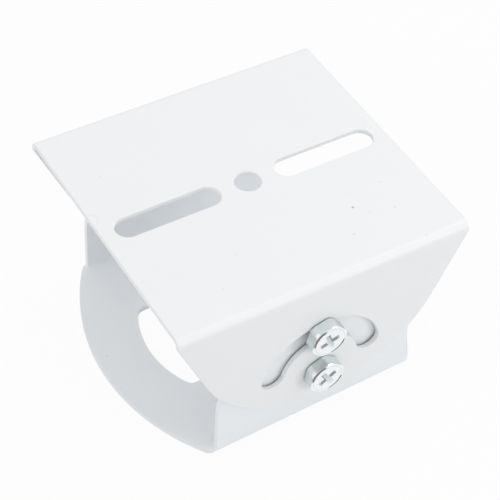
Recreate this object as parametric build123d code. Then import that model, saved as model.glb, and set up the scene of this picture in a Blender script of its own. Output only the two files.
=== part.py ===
from build123d import *
import os
from math import acos, atan2, cos, hypot, sin

# Tilting mounting bracket made of two folded sheet steel channels that nest in each
# other and turn about two short screws. Two more screws run in arc slots and clamp
# the tilt. All four are held in tapped holes in the lower bracket's walls. The origin
# is the centre of the underside of the lower bracket, +Z points up through the
# mounting plate, +Y lies along the tilt axis, and -Y is the front.

# Sheet
sheet = 1.8
bend_radius = 0.9
edge_corner = 3.0

# Lower bracket
base_width = 89.0
base_reach = 51.0
base_end_radius = 74.0
wall_length = 70.3
wall_height = 51.5
wall_top_radius = 34.5
base_hole_radius = 34.2
base_hole_width = 36.0
base_hole_corner = 3.0

# Tilt
pivot_height = 23.0
tilt_at_rest = 2.4
side_clearance = 0.6

# Upper bracket
plate_length = 100.0
flange_depth = 52.0
flange_pivot_margin = 12.5
flange_tip_inset = 6.4
flange_shoulder = 3.4
centre_hole_radius = 4.25
plate_slot_width = 8.3
plate_slot_length = 35.3
plate_slot_offset = 27.55
arc_slot_radius = 17.5
arc_slot_width = 7.8
arc_slot_half_angle = 76.0

# Screws
screw_radius = 3.0
screw_length = 8.0
screw_tip_chamfer = 0.6
pivot_clearance = 0.06
head_across_flats = 10.4
head_height = 4.3
head_collar_radius = 5.85
head_collar_thickness = 0.9
head_corner_radius = 6.05
head_face_radius = 5.05
head_chamfer = 0.6
recess_radius = 3.35
recess_wing = 1.4
recess_depth = 2.6
recess_bottom_radius = 1.1

# Tapped holes in the walls, each in a collar drawn inwards
thread_clearance = 0.02
tap_collar_radius = 4.2
tap_collar_height = 1.4

# Turn of each screw about its own axis, front pair first
pivot_head_turns = (20.0, 52.0)
lock_head_turns = (13.0, 35.0)
pivot_recess_turns = (31.0, 20.0)
lock_recess_turns = (16.0, 50.0)

# Worked out from the sizes above
bend_outer_radius = bend_radius + sheet
wall_outer = base_width / 2
wall_inner = wall_outer - sheet
flange_inner = wall_outer + side_clearance
flange_outer = flange_inner + sheet
plate_rise = flange_depth - flange_pivot_margin
flange_tip_radius = plate_length / 2 - flange_tip_inset
arc_centre = base_end_radius - base_reach
lock_height = pivot_height + arc_slot_radius
pivot_hole_radius = screw_radius + pivot_clearance
tapped_hole_radius = screw_radius + thread_clearance
overcut = 4 * sheet


def channel(width, depth, length):
    """Folded sheet channel along X: the web's outer face is at Z 0 and both legs hang down."""
    outside = Rectangle(width, depth, align=(Align.CENTER, Align.MAX))
    outside = fillet(outside.vertices().group_by(Axis.Y)[-1], bend_outer_radius)
    inside = Rectangle(width - 2 * sheet, depth, align=(Align.CENTER, Align.MAX))
    inside = fillet(inside.vertices().group_by(Axis.Y)[-1], bend_radius)
    section = outside - Pos(0, -sheet) * inside
    return extrude(Plane.YZ * section, amount=length / 2, both=True)


def across(sketch, width):
    """Prism of a side view sketch, running the full width of a channel along Y."""
    return extrude(Plane.XZ * sketch, amount=width / 2 + overcut, both=True)


def side_hole(radius, height, width):
    """Round bar along Y that cuts a hole in both legs of a channel."""
    return across(Pos(0, height) * Circle(radius), width)


def base_outline():
    """Plan of the lower bracket: two large arcs close the ends of a straight strip."""
    outline = Rectangle(2 * base_reach, base_width)
    outline &= Pos(arc_centre, 0) * Circle(base_end_radius)
    outline &= Pos(-arc_centre, 0) * Circle(base_end_radius)
    return fillet(outline.vertices(), edge_corner)


def base_hole():
    """Cable opening in the base: a circle with two flats."""
    hole = Circle(base_hole_radius) & Rectangle(2 * base_hole_radius, base_hole_width)
    return fillet(hole.vertices(), base_hole_corner)


def leg_outline(length, shoulder, depth, tip_radius):
    """Side view of a channel's leg: below the shoulder its sides run in to a round tip."""
    half = length / 2
    tip_centre = depth - tip_radius
    drop = shoulder - tip_centre
    turn = atan2(-drop, half) - acos(tip_radius / hypot(half, drop))
    touch_x = tip_radius * cos(turn)
    touch_z = tip_radius * sin(turn) - tip_centre
    sides = Polyline((-touch_x, touch_z), (-half, -shoulder), (-half, 0),
                     (half, 0), (half, -shoulder), (touch_x, touch_z))
    tip = ThreePointArc((touch_x, touch_z), (0, -depth), (-touch_x, touch_z))
    return make_face(sides + tip)


def tap_collars(height):
    """Collars on the inner faces of both walls, which give the screws enough thread."""
    collar = Plane.XZ * (Pos(0, height) * Circle(tap_collar_radius))
    body = extrude(collar, amount=wall_inner + sheet / 2, both=True)
    return body - extrude(collar, amount=wall_inner - tap_collar_height, both=True)


def lower_bracket():
    """One sheet: flat base with a cable opening, and two walls with tapped holes folded up."""
    web = Rectangle(2 * base_reach, sheet, align=(Align.CENTER, Align.MAX))
    wall = leg_outline(wall_length, sheet, wall_height, wall_top_radius)
    body = channel(base_width, wall_height, 2 * base_reach) & across(web + wall, base_width)
    body = Rot(X=180) * body & extrude(base_outline(), amount=wall_height)
    body -= extrude(base_hole(), amount=overcut, both=True)
    for hole_height in (pivot_height, lock_height):
        body += tap_collars(hole_height)
        body -= side_hole(tapped_hole_radius, hole_height, base_width)
    return body


def arc_slot():
    """Slot about the pivot that lets the lock screw pass while the bracket tilts."""
    path = CenterArc((0, 0), arc_slot_radius, 90 - arc_slot_half_angle, 2 * arc_slot_half_angle)
    return SlotArc(path, arc_slot_width)


def upper_bracket():
    """One sheet: slotted plate on top, and two flanges folded down, tilted as at rest."""
    width = 2 * flange_outer
    body = channel(width, flange_depth, plate_length)
    body &= across(leg_outline(plate_length, flange_shoulder, flange_depth, flange_tip_radius), width)
    body -= side_hole(pivot_hole_radius, -plate_rise, width)
    body -= across(Pos(0, -plate_rise) * arc_slot(), width)
    openings = Circle(centre_hole_radius)
    for side in (-1, 1):
        openings += Pos(side * plate_slot_offset, 0) * SlotOverall(plate_slot_length, plate_slot_width)
    body -= extrude(openings, amount=overcut, both=True)
    return Pos(0, 0, pivot_height) * Rot(Y=tilt_at_rest) * Pos(0, 0, plate_rise) * body


def hexagon(across_flats, turn=0.0):
    """Hexagon given by the distance between its flats."""
    return RegularPolygon(across_flats / 2, 6, major_radius=False, rotation=turn)


def cross_recess(turn):
    """Cross recess below Z 0: two wings whose ends slope in like a cone."""
    cross = Rectangle(2 * recess_radius, recess_wing) + Rectangle(recess_wing, 2 * recess_radius)
    wings = extrude(Rot(Z=turn) * cross, amount=-recess_depth)
    slope = Pos(0, 0, -recess_depth / 2) * Cone(recess_bottom_radius, recess_radius, recess_depth)
    return wings & slope


def bar(radius, height, align=Align.MIN):
    """Round bar along Z that starts or ends at Z 0."""
    return Cylinder(radius, height, align=(Align.CENTER, Align.CENTER, align))


def head_blank():
    """Turned form of a screw head: a bar with a shallow cone up to the face."""
    straight = head_height - head_chamfer
    cone = Cone(head_corner_radius, head_face_radius, head_chamfer,
                align=(Align.CENTER, Align.CENTER, Align.MIN))
    return bar(head_corner_radius, straight) + Pos(0, 0, straight) * cone


def screw(head_turn, recess_turn):
    """Screw with a chamfered hexagon head on a round collar: head above Z 0, shank below."""
    head = head_blank() & extrude(hexagon(head_across_flats, head_turn), amount=head_height)
    head += bar(head_collar_radius, head_collar_thickness)
    head -= Pos(0, 0, head_height) * cross_recess(recess_turn)
    shank = bar(screw_radius, screw_length, Align.MAX)
    shank = chamfer(shank.edges().group_by(Axis.Z)[0], screw_tip_chamfer)
    return head + shank


def screws():
    """The four screws, front pair first, by node name."""
    pieces = {}
    sides = (("front", 90, 0), ("back", -90, 1))
    for side, turn, index in sides:
        outward = -1 if side == "front" else 1
        places = (("pivot", pivot_height, pivot_head_turns[index], pivot_recess_turns[index]),
                  ("lock", lock_height, lock_head_turns[index], lock_recess_turns[index]))
        for role, height, head_turn, recess_turn in places:
            seat = Pos(0, outward * flange_outer, height) * Rot(X=turn)
            pieces[f"{role}_screw_{side}"] = seat * screw(head_turn, recess_turn)
    return pieces


def main():
    os.makedirs("parts", exist_ok=True)
    pieces = {"lower_bracket": lower_bracket(), "upper_bracket": upper_bracket()}
    pieces.update(screws())
    for name, shape in pieces.items():
        export_step(shape, f"parts/{name}.step")


main()
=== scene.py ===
# %% [markdown]
# This lesson dresses a tilting camera bracket: two folded sheet steel channels that
# nest in each other, coated white, and four zinc plated screws that turn into tapped
# holes. The imported model gives every size and place, in metres. The frame is loaded
# first.

# %% The frame
from math import cos, hypot, radians, sin

import bpy
from mathutils import Matrix, Vector


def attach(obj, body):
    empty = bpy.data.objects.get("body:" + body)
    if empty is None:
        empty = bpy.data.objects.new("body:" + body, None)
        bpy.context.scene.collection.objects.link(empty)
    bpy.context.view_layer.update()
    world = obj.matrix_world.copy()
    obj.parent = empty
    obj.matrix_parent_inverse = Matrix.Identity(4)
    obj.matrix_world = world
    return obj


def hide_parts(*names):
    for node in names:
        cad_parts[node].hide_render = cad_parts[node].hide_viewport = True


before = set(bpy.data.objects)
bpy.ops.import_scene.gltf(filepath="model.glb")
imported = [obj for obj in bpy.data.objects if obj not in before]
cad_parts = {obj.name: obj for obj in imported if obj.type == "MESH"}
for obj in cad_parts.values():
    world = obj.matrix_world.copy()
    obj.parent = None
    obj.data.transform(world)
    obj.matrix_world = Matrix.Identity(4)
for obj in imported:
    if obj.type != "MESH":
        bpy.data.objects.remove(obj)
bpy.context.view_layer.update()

# %% [markdown]
# The camera comes before the looks, because every later choice is judged through it.
# A long lens from the upper left keeps the plate's edges nearly parallel. Its place
# and turn were solved from the outlines of the plate, the walls and the base.

# %% The camera
MM = 0.001
CAMERA_PLACE = (-179.94, -298.72, 416.73)
CAMERA_TURN = (42.20, -0.69, -30.71)
CAMERA_LENS = 117.676


def add_camera(place, turn, lens):
    """Camera at a place in millimetres, turned by degrees about X, Y and Z."""
    angles = [radians(angle) for angle in turn]
    bpy.ops.object.camera_add(location=Vector(place) * MM, rotation=angles)
    camera = bpy.context.object
    camera.name = "camera"
    camera.data.lens = lens
    camera.data.sensor_width = 36.0
    camera.data.clip_end = 20.0
    bpy.context.scene.camera = camera
    return camera


camera = add_camera(CAMERA_PLACE, CAMERA_TURN, CAMERA_LENS)
print("camera at", tuple(round(number, 4) for number in camera.location))

# %% [markdown]
# A few helpers stand for the hand movements that come back in every step: letting go
# of everything, picking one object up, and picking the faces or edges that lie in a
# certain place. An operator acts on whatever is selected, so each step starts clean.

# %% Hand movements
HAIR = 0.01 * MM


def let_go():
    """Leaves edit mode and deselects everything."""
    if bpy.context.object and bpy.context.object.mode != "OBJECT":
        bpy.ops.object.mode_set(mode="OBJECT")
    bpy.ops.object.select_all(action="DESELECT")


def pick_up(piece):
    """Makes a piece the only selected and the active object."""
    let_go()
    bpy.context.view_layer.objects.active = piece
    piece.select_set(True)
    return piece


def just_made(name):
    """Names the primitive that was just added."""
    piece = bpy.context.object
    piece.name = name
    piece.data.name = name
    return piece


def edit(piece, kind="FACE"):
    """Opens a piece in edit mode with nothing selected."""
    pick_up(piece)
    bpy.ops.object.mode_set(mode="EDIT")
    bpy.ops.mesh.select_mode(type=kind)
    bpy.ops.mesh.select_all(action="DESELECT")


def select_faces(piece, test):
    """Selects the faces whose centre and normal pass the test, and stays in edit mode."""
    bpy.ops.object.mode_set(mode="OBJECT")
    for face in piece.data.polygons:
        face.select = bool(test(face.center, face.normal))
    bpy.ops.object.mode_set(mode="EDIT")


def select_edges(piece, test):
    """Selects the edges whose two ends pass the test together, and stays in edit mode."""
    bpy.ops.object.mode_set(mode="OBJECT")
    points = piece.data.vertices
    for edge in piece.data.edges:
        start, end = (points[index].co for index in edge.vertices)
        edge.select = bool(test(start, end))
    bpy.ops.object.mode_set(mode="EDIT")


def level_at(height):
    """Test for edges that lie level at a height."""
    return lambda start, end: abs(start.z - height) < HAIR and abs(end.z - height) < HAIR


def close(piece):
    """Leaves edit mode with outward normals."""
    bpy.ops.mesh.select_all(action="SELECT")
    bpy.ops.mesh.normals_make_consistent(inside=False)
    bpy.ops.object.mode_set(mode="OBJECT")
    return piece


def fix_place(piece):
    """Moves an object's place, turn and scale into its mesh."""
    pick_up(piece)
    bpy.ops.object.transform_apply(location=True, rotation=True, scale=True)
    return piece


def apply_all(piece):
    """Applies every modifier of a piece, in order."""
    pick_up(piece)
    for name in [modifier.name for modifier in piece.modifiers]:
        bpy.ops.object.modifier_apply(modifier=name)
    return piece


def cut(piece, tool, kind="DIFFERENCE"):
    """Boolean with a tool that is thrown away."""
    modifier = piece.modifiers.new("cut", "BOOLEAN")
    modifier.operation = kind
    modifier.object = tool
    modifier.solver = "EXACT"
    apply_all(piece)
    bpy.data.objects.remove(tool, do_unlink=True)
    return piece


def merge_close(piece, gap):
    """Merges points that lie closer than a gap, which takes slivers away."""
    edit(piece)
    bpy.ops.mesh.select_all(action="SELECT")
    bpy.ops.mesh.remove_doubles(threshold=gap)
    bpy.ops.mesh.dissolve_degenerate(threshold=gap)
    return close(piece)


def round_sharp(piece, width, steps, angle):
    """Rounds every edge that turns by more than the angle."""
    modifier = piece.modifiers.new("round", "BEVEL")
    modifier.width = width
    modifier.segments = steps
    modifier.limit_method = "ANGLE"
    modifier.angle_limit = radians(angle)
    return apply_all(piece)


def round_edges(piece, width, steps, angle):
    """Rounds every sharp edge, and smooths the shading so that flat faces stay flat."""
    round_sharp(piece, width, steps, angle)
    pick_up(piece)
    bpy.ops.object.shade_smooth_by_angle(angle=radians(angle))
    weights = piece.modifiers.new("flat faces win", "WEIGHTED_NORMAL")
    weights.keep_sharp = True
    weights.weight = 100
    return apply_all(piece)


def tell(piece):
    """Prints how many faces a piece has, and its box in millimetres."""
    columns = list(zip(*(point.co for point in piece.data.vertices)))
    corners = [[round(pick(column) / MM, 1) for column in columns] for pick in (min, max)]
    print(piece.name, len(piece.data.polygons), "faces, mm", corners)


print("helpers ready")

# %% [markdown]
# Shader maths reads best as plain sums, so a small class wraps a socket and turns
# Python's operators into Math nodes. Every other node is made by one method that
# takes its type, its settings and the values or links of its inputs. The world has
# nodes too, so that method sits in a class of its own, and a material builds on it.

# %% Sums for shaders


class Wire:
    """An output socket, with arithmetic."""

    def __init__(self, nodes, socket):
        self.nodes, self.socket = nodes, socket

    def math(self, operation, first, second):
        return self.nodes.node("ShaderNodeMath", {"operation": operation}, {0: first, 1: second})

    def __add__(self, other):
        return self.math("ADD", self, other)

    def __sub__(self, other):
        return self.math("SUBTRACT", self, other)

    def __mul__(self, other):
        return self.math("MULTIPLY", self, other)

    def __rsub__(self, other):
        return self.math("SUBTRACT", other, self)

    __radd__ = __add__
    __rmul__ = __mul__

    def most(self, other):
        return self.math("MAXIMUM", self, other)

    def least(self, other):
        return self.math("MINIMUM", self, other)

    def beside(self, output):
        """Another output of the same node."""
        return Wire(self.nodes, self.socket.node.outputs[output])


class Nodes:
    """The nodes of a material or of the world."""

    def __init__(self, data):
        self.data = data
        self.data.use_nodes = True
        self.tree = data.node_tree

    def node(self, kind, settings=None, inputs=None, output=0):
        made = self.tree.nodes.new(kind)
        for name, value in (settings or {}).items():
            setattr(made, name, value)
        for name, value in (inputs or {}).items():
            if isinstance(value, Wire):
                self.tree.links.new(value.socket, made.inputs[name])
            else:
                made.inputs[name].default_value = value
        return Wire(self, made.outputs[output])


class Finish(Nodes):
    """A material with one Principled shader, built node by node."""

    def __init__(self, name, **fixed):
        super().__init__(bpy.data.materials.new(name))
        self.shader = self.tree.nodes["Principled BSDF"]
        for socket, value in fixed.items():
            self.shader.inputs[socket.replace("_", " ")].default_value = value

    def place(self):
        """The point on the object, in metres."""
        return self.node("ShaderNodeTexCoord", output="Object")

    def noise(self, vector, size, detail, stretch=0.0):
        """Soft noise around 0.5 whose blobs are about the given size in metres."""
        inputs = {"Vector": vector, "Scale": 1.0 / size, "Detail": detail, "Distortion": stretch}
        return self.node("ShaderNodeTexNoise", {"noise_dimensions": "3D"}, inputs)

    def blend(self, factor, first, second):
        """Colour mix."""
        return self.node("ShaderNodeMix", {"data_type": "RGBA", "clamp_factor": True},
                         {0: factor, 6: first, 7: second}, output=2)

    def fade(self, value, start, end, low=1.0, high=0.0):
        """Smooth step: low before start, high after end."""
        return self.node("ShaderNodeMapRange", {"interpolation_type": "SMOOTHSTEP"},
                         {0: value, 1: start, 2: end, 3: low, 4: high})

    def distance(self, vector, point):
        return self.node("ShaderNodeVectorMath", {"operation": "DISTANCE"},
                         {0: vector, 1: point}, output="Value")

    def bump(self, height, depth, strength):
        return self.node("ShaderNodeBump",
                         inputs={"Height": height, "Distance": depth, "Strength": strength})

    def feed(self, **wires):
        """Links values to the shader's inputs and gives the material back."""
        for socket, wire in wires.items():
            self.tree.links.new(wire.socket, self.shader.inputs[socket.replace("_", " ")])
        return self.data


def shade(tone, share=1.0):
    """A tone times a share, as a colour with alpha."""
    return tuple(share * part for part in tone) + (1.0,)


print("shader classes ready")

# %% [markdown]
# Powder coat is a baked plastic skin about a tenth of a millimetre thick. It flows a
# little before it sets, which leaves soft ripples a millimetre or two across, with a
# fine grain on top. It could be a flat white with some noise in its roughness, but
# two bump layers and a faint change of tone make it read as coated steel.
# Small specks and pits are set where the real bracket has them. A faint curved
# scuff near the plate's left edge is a row of soft ones. The base has a white of its
# own: a little cooler than the plate's, and a little lighter, which is painted light
# for its inside under the plate.

# %% White powder coat
TILT = radians(2.4)
PIVOT_HEIGHT = 23.0 * MM
LOCK_HEIGHT = 40.5 * MM
FLANGE_FACE = 46.9 * MM
PLATE_RISE = 39.5 * MM
SHEET = 1.8 * MM
COAT_TONE = (0.855, 0.868, 0.88)
# The base's white is cooler than the plate's, and lighter as painted light for its inside.
BASE_TONE_WITH_PAINTED_FILL = (0.874, 0.898, 0.920)
DUST_TONE = (0.62, 0.63, 0.62)
PIT_TONE = (0.42, 0.43, 0.42)
RIPPLE, GRAIN, DUST, CLOUD = 1.6 * MM, 0.32 * MM, 0.75 * MM, 20.0 * MM
COAT_RELIEF = 0.05 * MM


def on_plate(x, y):
    """A point given in millimetres on the tilted plate's top, in metres in the frame."""
    spot = Vector((x * MM, y * MM, PLATE_RISE))
    return Vector((0.0, 0.0, PIVOT_HEIGHT)) + Matrix.Rotation(TILT, 3, "Y") @ spot


def powder_coat(name, specks, tone):
    """White coat with specks of place, radius and strength."""
    coat = Finish(name, Metallic=0.0, IOR=1.5)
    place = coat.place()
    ripple = coat.noise(place, RIPPLE, 2.0)
    grain = coat.noise(place, GRAIN, 1.0)
    cloud = coat.noise(place, CLOUD, 3.0)
    dust = coat.fade(coat.noise(place, DUST, 1.0), 0.72, 0.80, 0.0, 1.0)
    colour = coat.blend(cloud, shade(tone, 0.985), shade(tone))
    colour = coat.blend(dust * 0.05, colour, shade(DUST_TONE))
    pits = None
    for spot, radius, strength in specks:
        mask = coat.fade(coat.distance(place, spot), 0.35 * radius, radius) * strength
        pits = mask if pits is None else pits.most(mask)
    colour = coat.blend(pits, colour, shade(PIT_TONE))
    height = ripple * 0.6 + grain * 0.25 - pits * 1.5
    roughness = 0.36 + cloud * 0.1 + grain * 0.06
    return coat.feed(Base_Color=colour, Roughness=roughness, Normal=coat.bump(height, COAT_RELIEF, 0.5))


# Each speck: its place along and across the plate and its radius, in mm, and its strength.
PLATE_SPECKS = (
    (22.2, -24.6, 0.6, 0.85),
    (33.5, -30.4, 0.45, 0.35),
    (16.4, -34.1, 0.45, 0.35),
    (35.6, -19.4, 0.45, 0.3),
    (-38.9, 22.4, 0.45, 0.25),
    (-18.7, -24.8, 0.4, 0.3),
    (-28.6, -34.6, 0.4, 0.2),
    (35.4, -44.7, 0.45, 0.25),
    (25.7, -28.6, 0.8, 0.08),
    (49.8, -42.3, 0.5, 0.4),
)
SCUFF = ((-48.8, 9.4), (-47.8, 8.8), (-47.5, 7.9), (-47.6, 6.6), (-48.2, 5.5))
FLANGE_SPECK = (Vector((-18.8 * MM, -FLANGE_FACE, 34.0 * MM)), 0.5 * MM, 0.2)
BASE_SPECK = (Vector((-47.0 * MM, 5.6 * MM, SHEET)), 0.5 * MM, 0.25)
specks = [(on_plate(x, y), radius * MM, strength) for x, y, radius, strength in PLATE_SPECKS]
scuff = [(on_plate(x, y), 0.7 * MM, 0.1) for x, y in SCUFF]
head_coat = powder_coat("powder_coat_head", specks + [FLANGE_SPECK] + scuff, COAT_TONE)
base_coat = powder_coat("powder_coat_base", [BASE_SPECK], BASE_TONE_WITH_PAINTED_FILL)
print("powder coat for the head and the base, with", len(specks) + 2, "specks")

# %% [markdown]
# The screws are zinc plated and passivated: a bright metal with a slight blue green
# tint. A plain metal shader would give the whole head one tone. Here the turned face
# is the brightest plating. The sides are darker, partly for the duller finish a forging
# die leaves and partly as painted shade for the darker things they mirror. The chamfer
# has painted dark reflections at two opposite corners, the corner above one of them has
# a painted highlight, and one flat of the lower head has a painted dark reflection. The
# rim round the face and the undercut are painted dark as shade, and the edge round the
# chamfer is a painted highlight. So the face, its rim, the chamfer, the edge, the sides,
# the recess and the undercut each get their own plating.

# %% Zinc plating
SCRATCH, BLOOM = 0.4 * MM, 2.0 * MM
PLATING_RELIEF = 0.01 * MM
PAINTED_HIGHLIGHT_GREY = 1.0
OPPOSITE_REFLECTION_ANGLE = -50.0
DARK_REFLECTION_FLAT_ANGLE = 110.0


def zinc(name, tone, rough, spots=()):
    """Zinc plating with spots of place, radius, grey and strength. A spot of the highlight grey is a
    painted highlight: pale, not mirroring.
    """
    plate = Finish(name, Metallic=1.0)
    place = plate.place()
    bloom = plate.noise(place, BLOOM, 3.0)
    scratch = plate.noise(place, SCRATCH, 2.0, stretch=1.5)
    colour = plate.blend(bloom, shade(tone), shade(tone, 0.9))
    pale = None
    for spot, radius, grey, strength in spots:
        mask = plate.fade(plate.distance(place, spot), 0.75 * radius, radius) * strength
        colour = plate.blend(mask, colour, shade((grey, grey, grey)))
        if grey == PAINTED_HIGHLIGHT_GREY:
            pale = mask if pale is None else pale.most(mask)
    if pale:
        plate.feed(Metallic=1.0 - pale)
    roughness = rough + bloom * 0.06 + scratch * 0.05
    return plate.feed(Base_Color=colour, Roughness=roughness,
                      Normal=plate.bump(scratch, PLATING_RELIEF, 0.3))


def on_head(side, height, angle, radius=5.6 * MM, out=4.0 * MM):
    """A point on a head, at an angle from +X towards +Z and a height over the flange."""
    outward = -1 if side == "front" else 1
    turn = radians(angle)
    return Vector((radius * cos(turn), outward * (FLANGE_FACE + out), height + radius * sin(turn)))


def painted_reflection_places(side, height, reflection_angle, corner_angle):
    """Two painted dark reflections on the chamfer of a head, and a painted highlight at its corner."""
    reflection_patches = [(on_head(side, height, reflection_angle), 3.8 * MM, 0.13, 0.9),
               (on_head(side, height, OPPOSITE_REFLECTION_ANGLE), 3.4 * MM, 0.08, 0.95)]
    # A pale painted highlight at the corner above the dark reflection.
    corner = (on_head(side, height, corner_angle, 6.2 * MM, 3.6 * MM), 0.9 * MM, PAINTED_HIGHLIGHT_GREY, 1.0)
    return reflection_patches, corner


# Painted dark reflections on the chamfers of all four heads.
painted_dark_reflections = []
# Painted highlights and a painted dark reflection on the sides of the heads.
painted_light_on_sides = []
for side in ("front", "back"):
    for height, reflection_angle, corner_angle in ((PIVOT_HEIGHT, 133.0, 140.0), (LOCK_HEIGHT, 141.0, 133.0)):
        reflection_patches, corner = painted_reflection_places(side, height, reflection_angle, corner_angle)
        painted_dark_reflections += reflection_patches
        painted_light_on_sides.append(corner)
    # A painted dark reflection of the lock head on one flat of each pivot head.
    dark_reflection_flat = on_head(side, PIVOT_HEIGHT, DARK_REFLECTION_FLAT_ANGLE, out=2.0 * MM)
    painted_light_on_sides.append((dark_reflection_flat, 2.4 * MM, 0.42, 0.4))

ZINC = {
    # The sides are darker than the face, partly for their duller forged finish and partly as painted shade.
    "sides": zinc("zinc_sides", (0.80, 0.865, 0.865), 0.24, painted_light_on_sides),
    "face": zinc("zinc_face", (0.95, 0.97, 0.985), 0.2),
    # The chamfer carries painted dark reflections at two opposite corners.
    "chamfer": zinc("zinc_chamfer", (0.95, 0.97, 0.975), 0.16, painted_dark_reflections),
    # The rim round the face is painted darker as shade.
    "rim": zinc("zinc_rim", (0.60, 0.64, 0.64), 0.3, painted_dark_reflections),
    "recess": zinc("zinc_recess", (0.76, 0.82, 0.82), 0.45),
    # The undercut under the head is painted nearly black as shade.
    "gap": zinc("zinc_gap", (0.16, 0.17, 0.17), 0.5),
    # The edge round the chamfer is a painted highlight.
    "edge": zinc("zinc_edge", (0.99, 0.99, 0.99), 0.15),
}
# Counts the painted dark reflections on the chamfers, and the painted highlights and dark reflections on
# the sides.
print(len(ZINC), "zinc finishes,", len(painted_dark_reflections), "burnished and", len(painted_light_on_sides), "worn places")

# %% [markdown]
# The coating wraps round every cut edge of the sheet, so no edge is sharp. The CAD
# channels have the right folds, holes, slots and collars, but square edges. Each is
# copied, its loose triangles are merged and the flat ones joined, and a small round
# is run along every edge. Modelling the channels anew would only repeat the CAD.

# %% The two coated channels
COAT_EDGE = 0.4 * MM
LOOSE_GAP = 0.002 * MM


def coated_copy(node, name, finish):
    """Copy of a CAD channel with merged faces and rounded edges, in a finish."""
    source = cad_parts[node]
    piece = source.copy()
    piece.data = source.data.copy()
    piece.parent = None
    piece.matrix_world = Matrix.Identity(4)
    bpy.context.collection.objects.link(piece)
    piece.name = name
    pick_up(piece)
    bpy.ops.object.mode_set(mode="EDIT")
    bpy.ops.mesh.select_all(action="SELECT")
    bpy.ops.mesh.remove_doubles(threshold=LOOSE_GAP)
    bpy.ops.mesh.dissolve_limited(angle_limit=radians(0.5), use_dissolve_boundaries=False)
    bpy.ops.object.mode_set(mode="OBJECT")
    piece.data.materials.clear()
    piece.data.materials.append(finish)
    round_edges(piece, COAT_EDGE, 3, 35.0)
    tell(piece)
    return piece


upper = coated_copy("upper_bracket", "upper_bracket_coated", head_coat)
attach(upper, "head")
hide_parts("upper_bracket")
lower = coated_copy("lower_bracket", "lower_bracket_coated", base_coat)
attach(lower, "base")
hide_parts("lower_bracket")

# %% [markdown]
# A screw starts as a hexagon bar. Forging leaves its six upright edges well rounded,
# and the end is turned to a shallow cone round a flat face, which cuts the hexagon's
# flats off in curved lines. Drawing those curves would be slow. Here the rounded
# hexagon meets the turned blank in a boolean, and the edge between them is rounded,
# because that is where a real head catches its brightest highlights. The rounding
# leaves slivers where two curves meet, so points that nearly touch are merged. A
# narrower disc under the head leaves a thin gap that parts it from the coating; its
# plating is painted nearly black as the shade in that gap.

# %% The hexagon head
HEAD_FLATS = 11.3 * MM
HEAD_HEIGHT = 4.3 * MM
HEAD_BLANK = 6.2 * MM
FACE_RADIUS = 4.98 * MM
FACE_ROUND = 0.12 * MM
CHAMFER = 0.26 * MM
CORNER_ROUND = 1.6 * MM
HIGHLIGHT_ROUND = 0.1 * MM
UNDERCUT_RADIUS = 5.1 * MM
UNDERCUT = 0.5 * MM
SHOULDER = 0.45 * MM


def bar(name, radius, bottom, top, sides=96):
    """Upright round or hexagon bar between two heights."""
    let_go()
    bpy.ops.mesh.primitive_cylinder_add(vertices=sides, radius=radius, depth=top - bottom,
                                        location=(0, 0, (top + bottom) / 2))
    return fix_place(just_made(name))


def shrink_end(piece, height, factor, top=True):
    """Extrudes the top or bottom face by a height and scales it, which makes a cone."""
    sign = 1 if top else -1
    edit(piece)
    select_faces(piece, lambda centre, normal: normal.z * sign > 0.99)
    bpy.ops.mesh.extrude_region_move(TRANSFORM_OT_translate={"value": (0, 0, sign * height)})
    bpy.ops.transform.resize(value=(factor, factor, 1), center_override=(0, 0, 0))
    return close(piece)


def soften(piece, width, steps, test):
    """Rounds the edges that pass the test."""
    edit(piece, "EDGE")
    select_edges(piece, test)
    bpy.ops.mesh.bevel(offset=width, segments=steps, affect="EDGES")
    return close(piece)


def hexagon_bar(name, flats, bottom, top, edge_round):
    """Hexagon bar with rounded corners at 0 degrees and every 60 after that."""
    piece = bar(name, flats / 2 / cos(radians(30)), bottom, top, sides=6)
    piece.rotation_euler = (0, 0, radians(30))
    fix_place(piece)
    return soften(piece, edge_round, 8, lambda start, end: abs(start.z - end.z) > (top - bottom) / 2)


head = hexagon_bar("screw_head", HEAD_FLATS, UNDERCUT, HEAD_HEIGHT, CORNER_ROUND)
blank = bar("blank", HEAD_BLANK, 0.0, HEAD_HEIGHT - CHAMFER)
shrink_end(blank, CHAMFER, FACE_RADIUS / HEAD_BLANK)
soften(blank, SHOULDER, 6, level_at(HEAD_HEIGHT - CHAMFER))
soften(blank, FACE_ROUND, 2, level_at(HEAD_HEIGHT))
cut(head, blank, "INTERSECT")
round_sharp(head, HIGHLIGHT_ROUND, 3, 38.0)
merge_close(head, HAIR)
undercut = bar("undercut", UNDERCUT_RADIUS, 0.0, UNDERCUT * 2)
cut(head, undercut, "UNION")
tell(head)

# %% [markdown]
# The shank is a thread with a pitch of 1 mm. Only its tip is seen, past the wall, but a
# plain bar there would look like a pin. One triangle is the tooth's section: the Screw
# modifier carries it round and up a core bar, and its open ends are filled.

# %% The thread
THREAD_RADIUS = 3.0 * MM
CORE_RADIUS = 2.45 * MM
PITCH = 1.0 * MM
SHANK = 8.0 * MM
TIP = 0.6 * MM
TIP_SHARE = 0.85
TOOTH_ROOT = CORE_RADIUS - 0.05 * MM
TOOTH_HALF = 0.42 * PITCH


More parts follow.
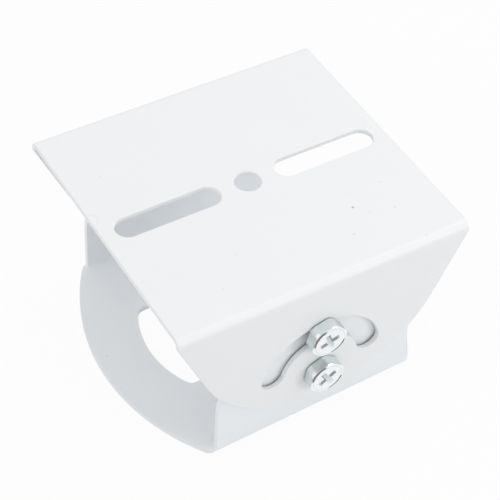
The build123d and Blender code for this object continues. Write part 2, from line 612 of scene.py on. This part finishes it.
def thread(name, turns, bottom):
    """Helical tooth that starts at a height and climbs by the pitch at each turn."""
    let_go()
    bpy.ops.mesh.primitive_circle_add(vertices=3, radius=PITCH / 2, fill_type="NGON",
                                      rotation=(radians(90), 0, 0))
    tooth = fix_place(just_made(name))
    corners = ((TOOTH_ROOT, -TOOTH_HALF), (THREAD_RADIUS, 0.0), (TOOTH_ROOT, TOOTH_HALF))
    for point, (across, up) in zip(tooth.data.vertices, corners):
        point.co = (across, 0, bottom + up)
    edit(tooth)
    bpy.ops.mesh.select_all(action="SELECT")
    bpy.ops.mesh.delete(type="ONLY_FACE")
    bpy.ops.object.mode_set(mode="OBJECT")
    sweep = tooth.modifiers.new("sweep", "SCREW")
    sweep.steps = sweep.render_steps = 36
    sweep.iterations = turns
    sweep.screw_offset = PITCH
    apply_all(tooth)
    edit(tooth)
    bpy.ops.mesh.select_all(action="SELECT")
    bpy.ops.mesh.fill_holes(sides=3)
    return close(tooth)


shank = bar("shank", CORE_RADIUS, TIP - SHANK, 0.0, sides=48)
shrink_end(shank, TIP, TIP_SHARE, top=False)
tooth = thread("tooth", 6, PITCH - SHANK)
pick_up(head)
shank.select_set(True)
tooth.select_set(True)
bpy.ops.object.join()
tell(head)

# %% [markdown]
# The cross recess is punched. Its tool is a cross of two bars inside a cone, so that
# the wings slope inwards and the corners between them are sharp. Every screw stopped
# at its own angle, and so did its recess, so the tool is turned for each of them.

# %% Four screws
RECESS_RADIUS = 3.35 * MM
RECESS_WING = 1.7 * MM
RECESS_DEPTH = 2.6 * MM
RECESS_BOTTOM = 1.1 * MM
OVERSHOOT = 0.2 * MM
RIM = 0.2 * MM


def punch(turn):
    """Tool for the cross recess, turned by an angle in degrees."""
    let_go()
    middle = HEAD_HEIGHT - RECESS_DEPTH / 2
    spread = (RECESS_RADIUS - RECESS_BOTTOM) / RECESS_DEPTH * OVERSHOOT
    bpy.ops.mesh.primitive_cone_add(vertices=64, radius1=RECESS_BOTTOM, radius2=RECESS_RADIUS + spread,
                                    depth=RECESS_DEPTH + OVERSHOOT, location=(0, 0, middle + OVERSHOOT / 2))
    tool = fix_place(just_made("punch"))
    wings = []
    for quarter in (0, 90):
        let_go()
        bpy.ops.mesh.primitive_cube_add(size=1.0, location=(0, 0, middle + OVERSHOOT),
                                        rotation=(0, 0, radians(turn + quarter)),
                                        scale=(2.4 * RECESS_RADIUS, RECESS_WING, 1.4 * RECESS_DEPTH))
        wings.append(fix_place(just_made("wing")))
    cut(wings[0], wings[1], "UNION")
    return cut(tool, wings[0], "INTERSECT")


def finish_at(centre, normal):
    """Which plating a face of a screw has, by its place and normal."""
    from_axis = hypot(centre.x, centre.y)
    on_top = centre.z > HEAD_HEIGHT - CHAMFER - SHOULDER
    if centre.z > HEAD_HEIGHT - HAIR and normal.z > 0.99:
        return "face"
    if centre.z > HEAD_HEIGHT - RECESS_DEPTH - HAIR and from_axis < RECESS_RADIUS:
        return "recess"
    if from_axis < FACE_RADIUS + RIM and normal.z > 0.95:
        return "rim"
    if on_top and normal.z > 0.93:
        return "chamfer"
    if on_top and normal.z > 0.3:
        return "edge"
    if 0.0 <= centre.z < UNDERCUT * 0.9:
        return "gap"
    return "sides"


def plate_faces(piece):
    """Gives each part of a screw its own plating."""
    order = list(ZINC)
    for finish in order:
        piece.data.materials.append(ZINC[finish])
    for face in piece.data.polygons:
        face.material_index = order.index(finish_at(face.center, face.normal))


def copy_of(master, name, turn):
    """Copy with its own mesh, turned about its own axis."""
    piece = master.copy()
    piece.data = master.data.copy()
    piece.name = piece.data.name = name
    bpy.context.collection.objects.link(piece)
    piece.rotation_euler = (0, 0, radians(turn))
    return fix_place(piece)


def stand(piece, side, height):
    """Turns a screw that was made along +Z to sit on the front or the back flange."""
    outward = -1 if side == "front" else 1
    piece.rotation_euler = (radians(-90 * outward), 0, 0)
    piece.location = (0, outward * FLANGE_FACE, height)
    return fix_place(piece)


def seat(piece, role, side):
    """Rides a screw on the base in place of its CAD node."""
    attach(piece, "base")
    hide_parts(f"{role}_screw_{side}")
    tell(piece)


# Each screw: role, side, height, and the turns of its head and of its recess in degrees.
SCREWS = (
    ("pivot", "front", PIVOT_HEIGHT, 20.0, 31.0),
    ("lock", "front", LOCK_HEIGHT, 13.0, 16.0),
    ("pivot", "back", PIVOT_HEIGHT, 52.0, 20.0),
    ("lock", "back", LOCK_HEIGHT, 35.0, 50.0),
)
for role, side, height, head_turn, recess_turn in SCREWS:
    screw = copy_of(head, f"{role}_screw_{side}_plated", head_turn)
    cut(screw, punch(recess_turn))
    plate_faces(screw)
    pick_up(screw)
    bpy.ops.object.shade_smooth_by_angle(angle=radians(22))
    seat(stand(screw, side, height), role, side)
bpy.data.objects.remove(head, do_unlink=True)

# %% [markdown]
# The bracket lies on white paper under soft light, as in a light tent. The world
# fills every side. A lamp at the front throws the faint shadows to the left of the
# screw heads. Two wider ones stand high on both sides and shine in under the plate. The
# right one is stronger, so that the inside grows lighter from left to right. Stronger
# lamps would make the paper white, but would bleach the coating with it. So the paper
# and the world are white only where the camera or a reflection sees them, and light
# the bracket at a plain level.

# %% The paper and the world
FLOOR_SIZE = 6.0
FLOOR_DROP = 0.2 * MM
PAPER_GREY = 0.78
PAPER_GLOW = 0.93
WORLD_FILL = 0.78
WHITE = (1.0, 1.0, 1.0, 1.0)


def background_rays(nodes):
    """1 for a ray that looks at the background: from the camera, mirrored or through glass."""
    path = nodes.node("ShaderNodeLightPath", output="Is Camera Ray")
    return (path + path.beside("Is Glossy Ray") + path.beside("Is Transmission Ray")).least(1.0)


def paper():
    """White paper that still takes a little shadow."""
    white = Finish("paper", Roughness=0.9, Base_Color=shade((PAPER_GREY,) * 3))
    glow = white.node("ShaderNodeEmission", inputs={"Color": WHITE, "Strength": 1.0})
    matte = Wire(white, white.shader.outputs[0])
    mixed = white.node("ShaderNodeMixShader",
                       inputs={0: background_rays(white) * PAPER_GLOW, 1: matte, 2: glow})
    white.tree.links.new(mixed.socket, white.tree.nodes["Material Output"].inputs["Surface"])
    return white.data


def light_tent():
    """World that is white where it is seen, and a little dimmer as a light."""
    studio = Nodes(bpy.data.worlds.new("studio"))
    backdrop = studio.tree.nodes["Background"]
    backdrop.inputs["Color"].default_value = WHITE
    strength = WORLD_FILL + background_rays(studio) * (1.0 - WORLD_FILL)
    studio.tree.links.new(strength.socket, backdrop.inputs["Strength"])
    return studio.data


let_go()
bpy.ops.mesh.primitive_plane_add(size=FLOOR_SIZE, location=(0, 0, -FLOOR_DROP))
floor = just_made("floor")
floor.data.materials.append(paper())
bpy.context.scene.world = light_tent()
bpy.context.scene.view_settings.view_transform = "Standard"
print("paper", FLOOR_SIZE, "m wide, world at", WORLD_FILL)

# %% The lamps
LAMP_AIM = Vector((0.0, 0.0, 0.03))


def soft_lamp(name, place, size, power):
    """Square lamp at a place in metres that shines on the middle of the bracket."""
    bpy.ops.object.light_add(type="AREA", location=place)
    lamp = bpy.context.object
    lamp.name = name
    lamp.data.shape = "SQUARE"
    lamp.data.size = size
    lamp.data.energy = power
    lamp.rotation_euler = (LAMP_AIM - Vector(place)).to_track_quat("-Z", "Y").to_euler()
    print("lamp", name, power, "W")


soft_lamp("front", (0.5, -0.85, 0.3), 0.3, 1.4)
soft_lamp("high right", (0.85, 0.0, 0.85), 0.6, 2.65)
soft_lamp("high left", (-0.85, 0.0, 0.85), 0.6, 1.7)
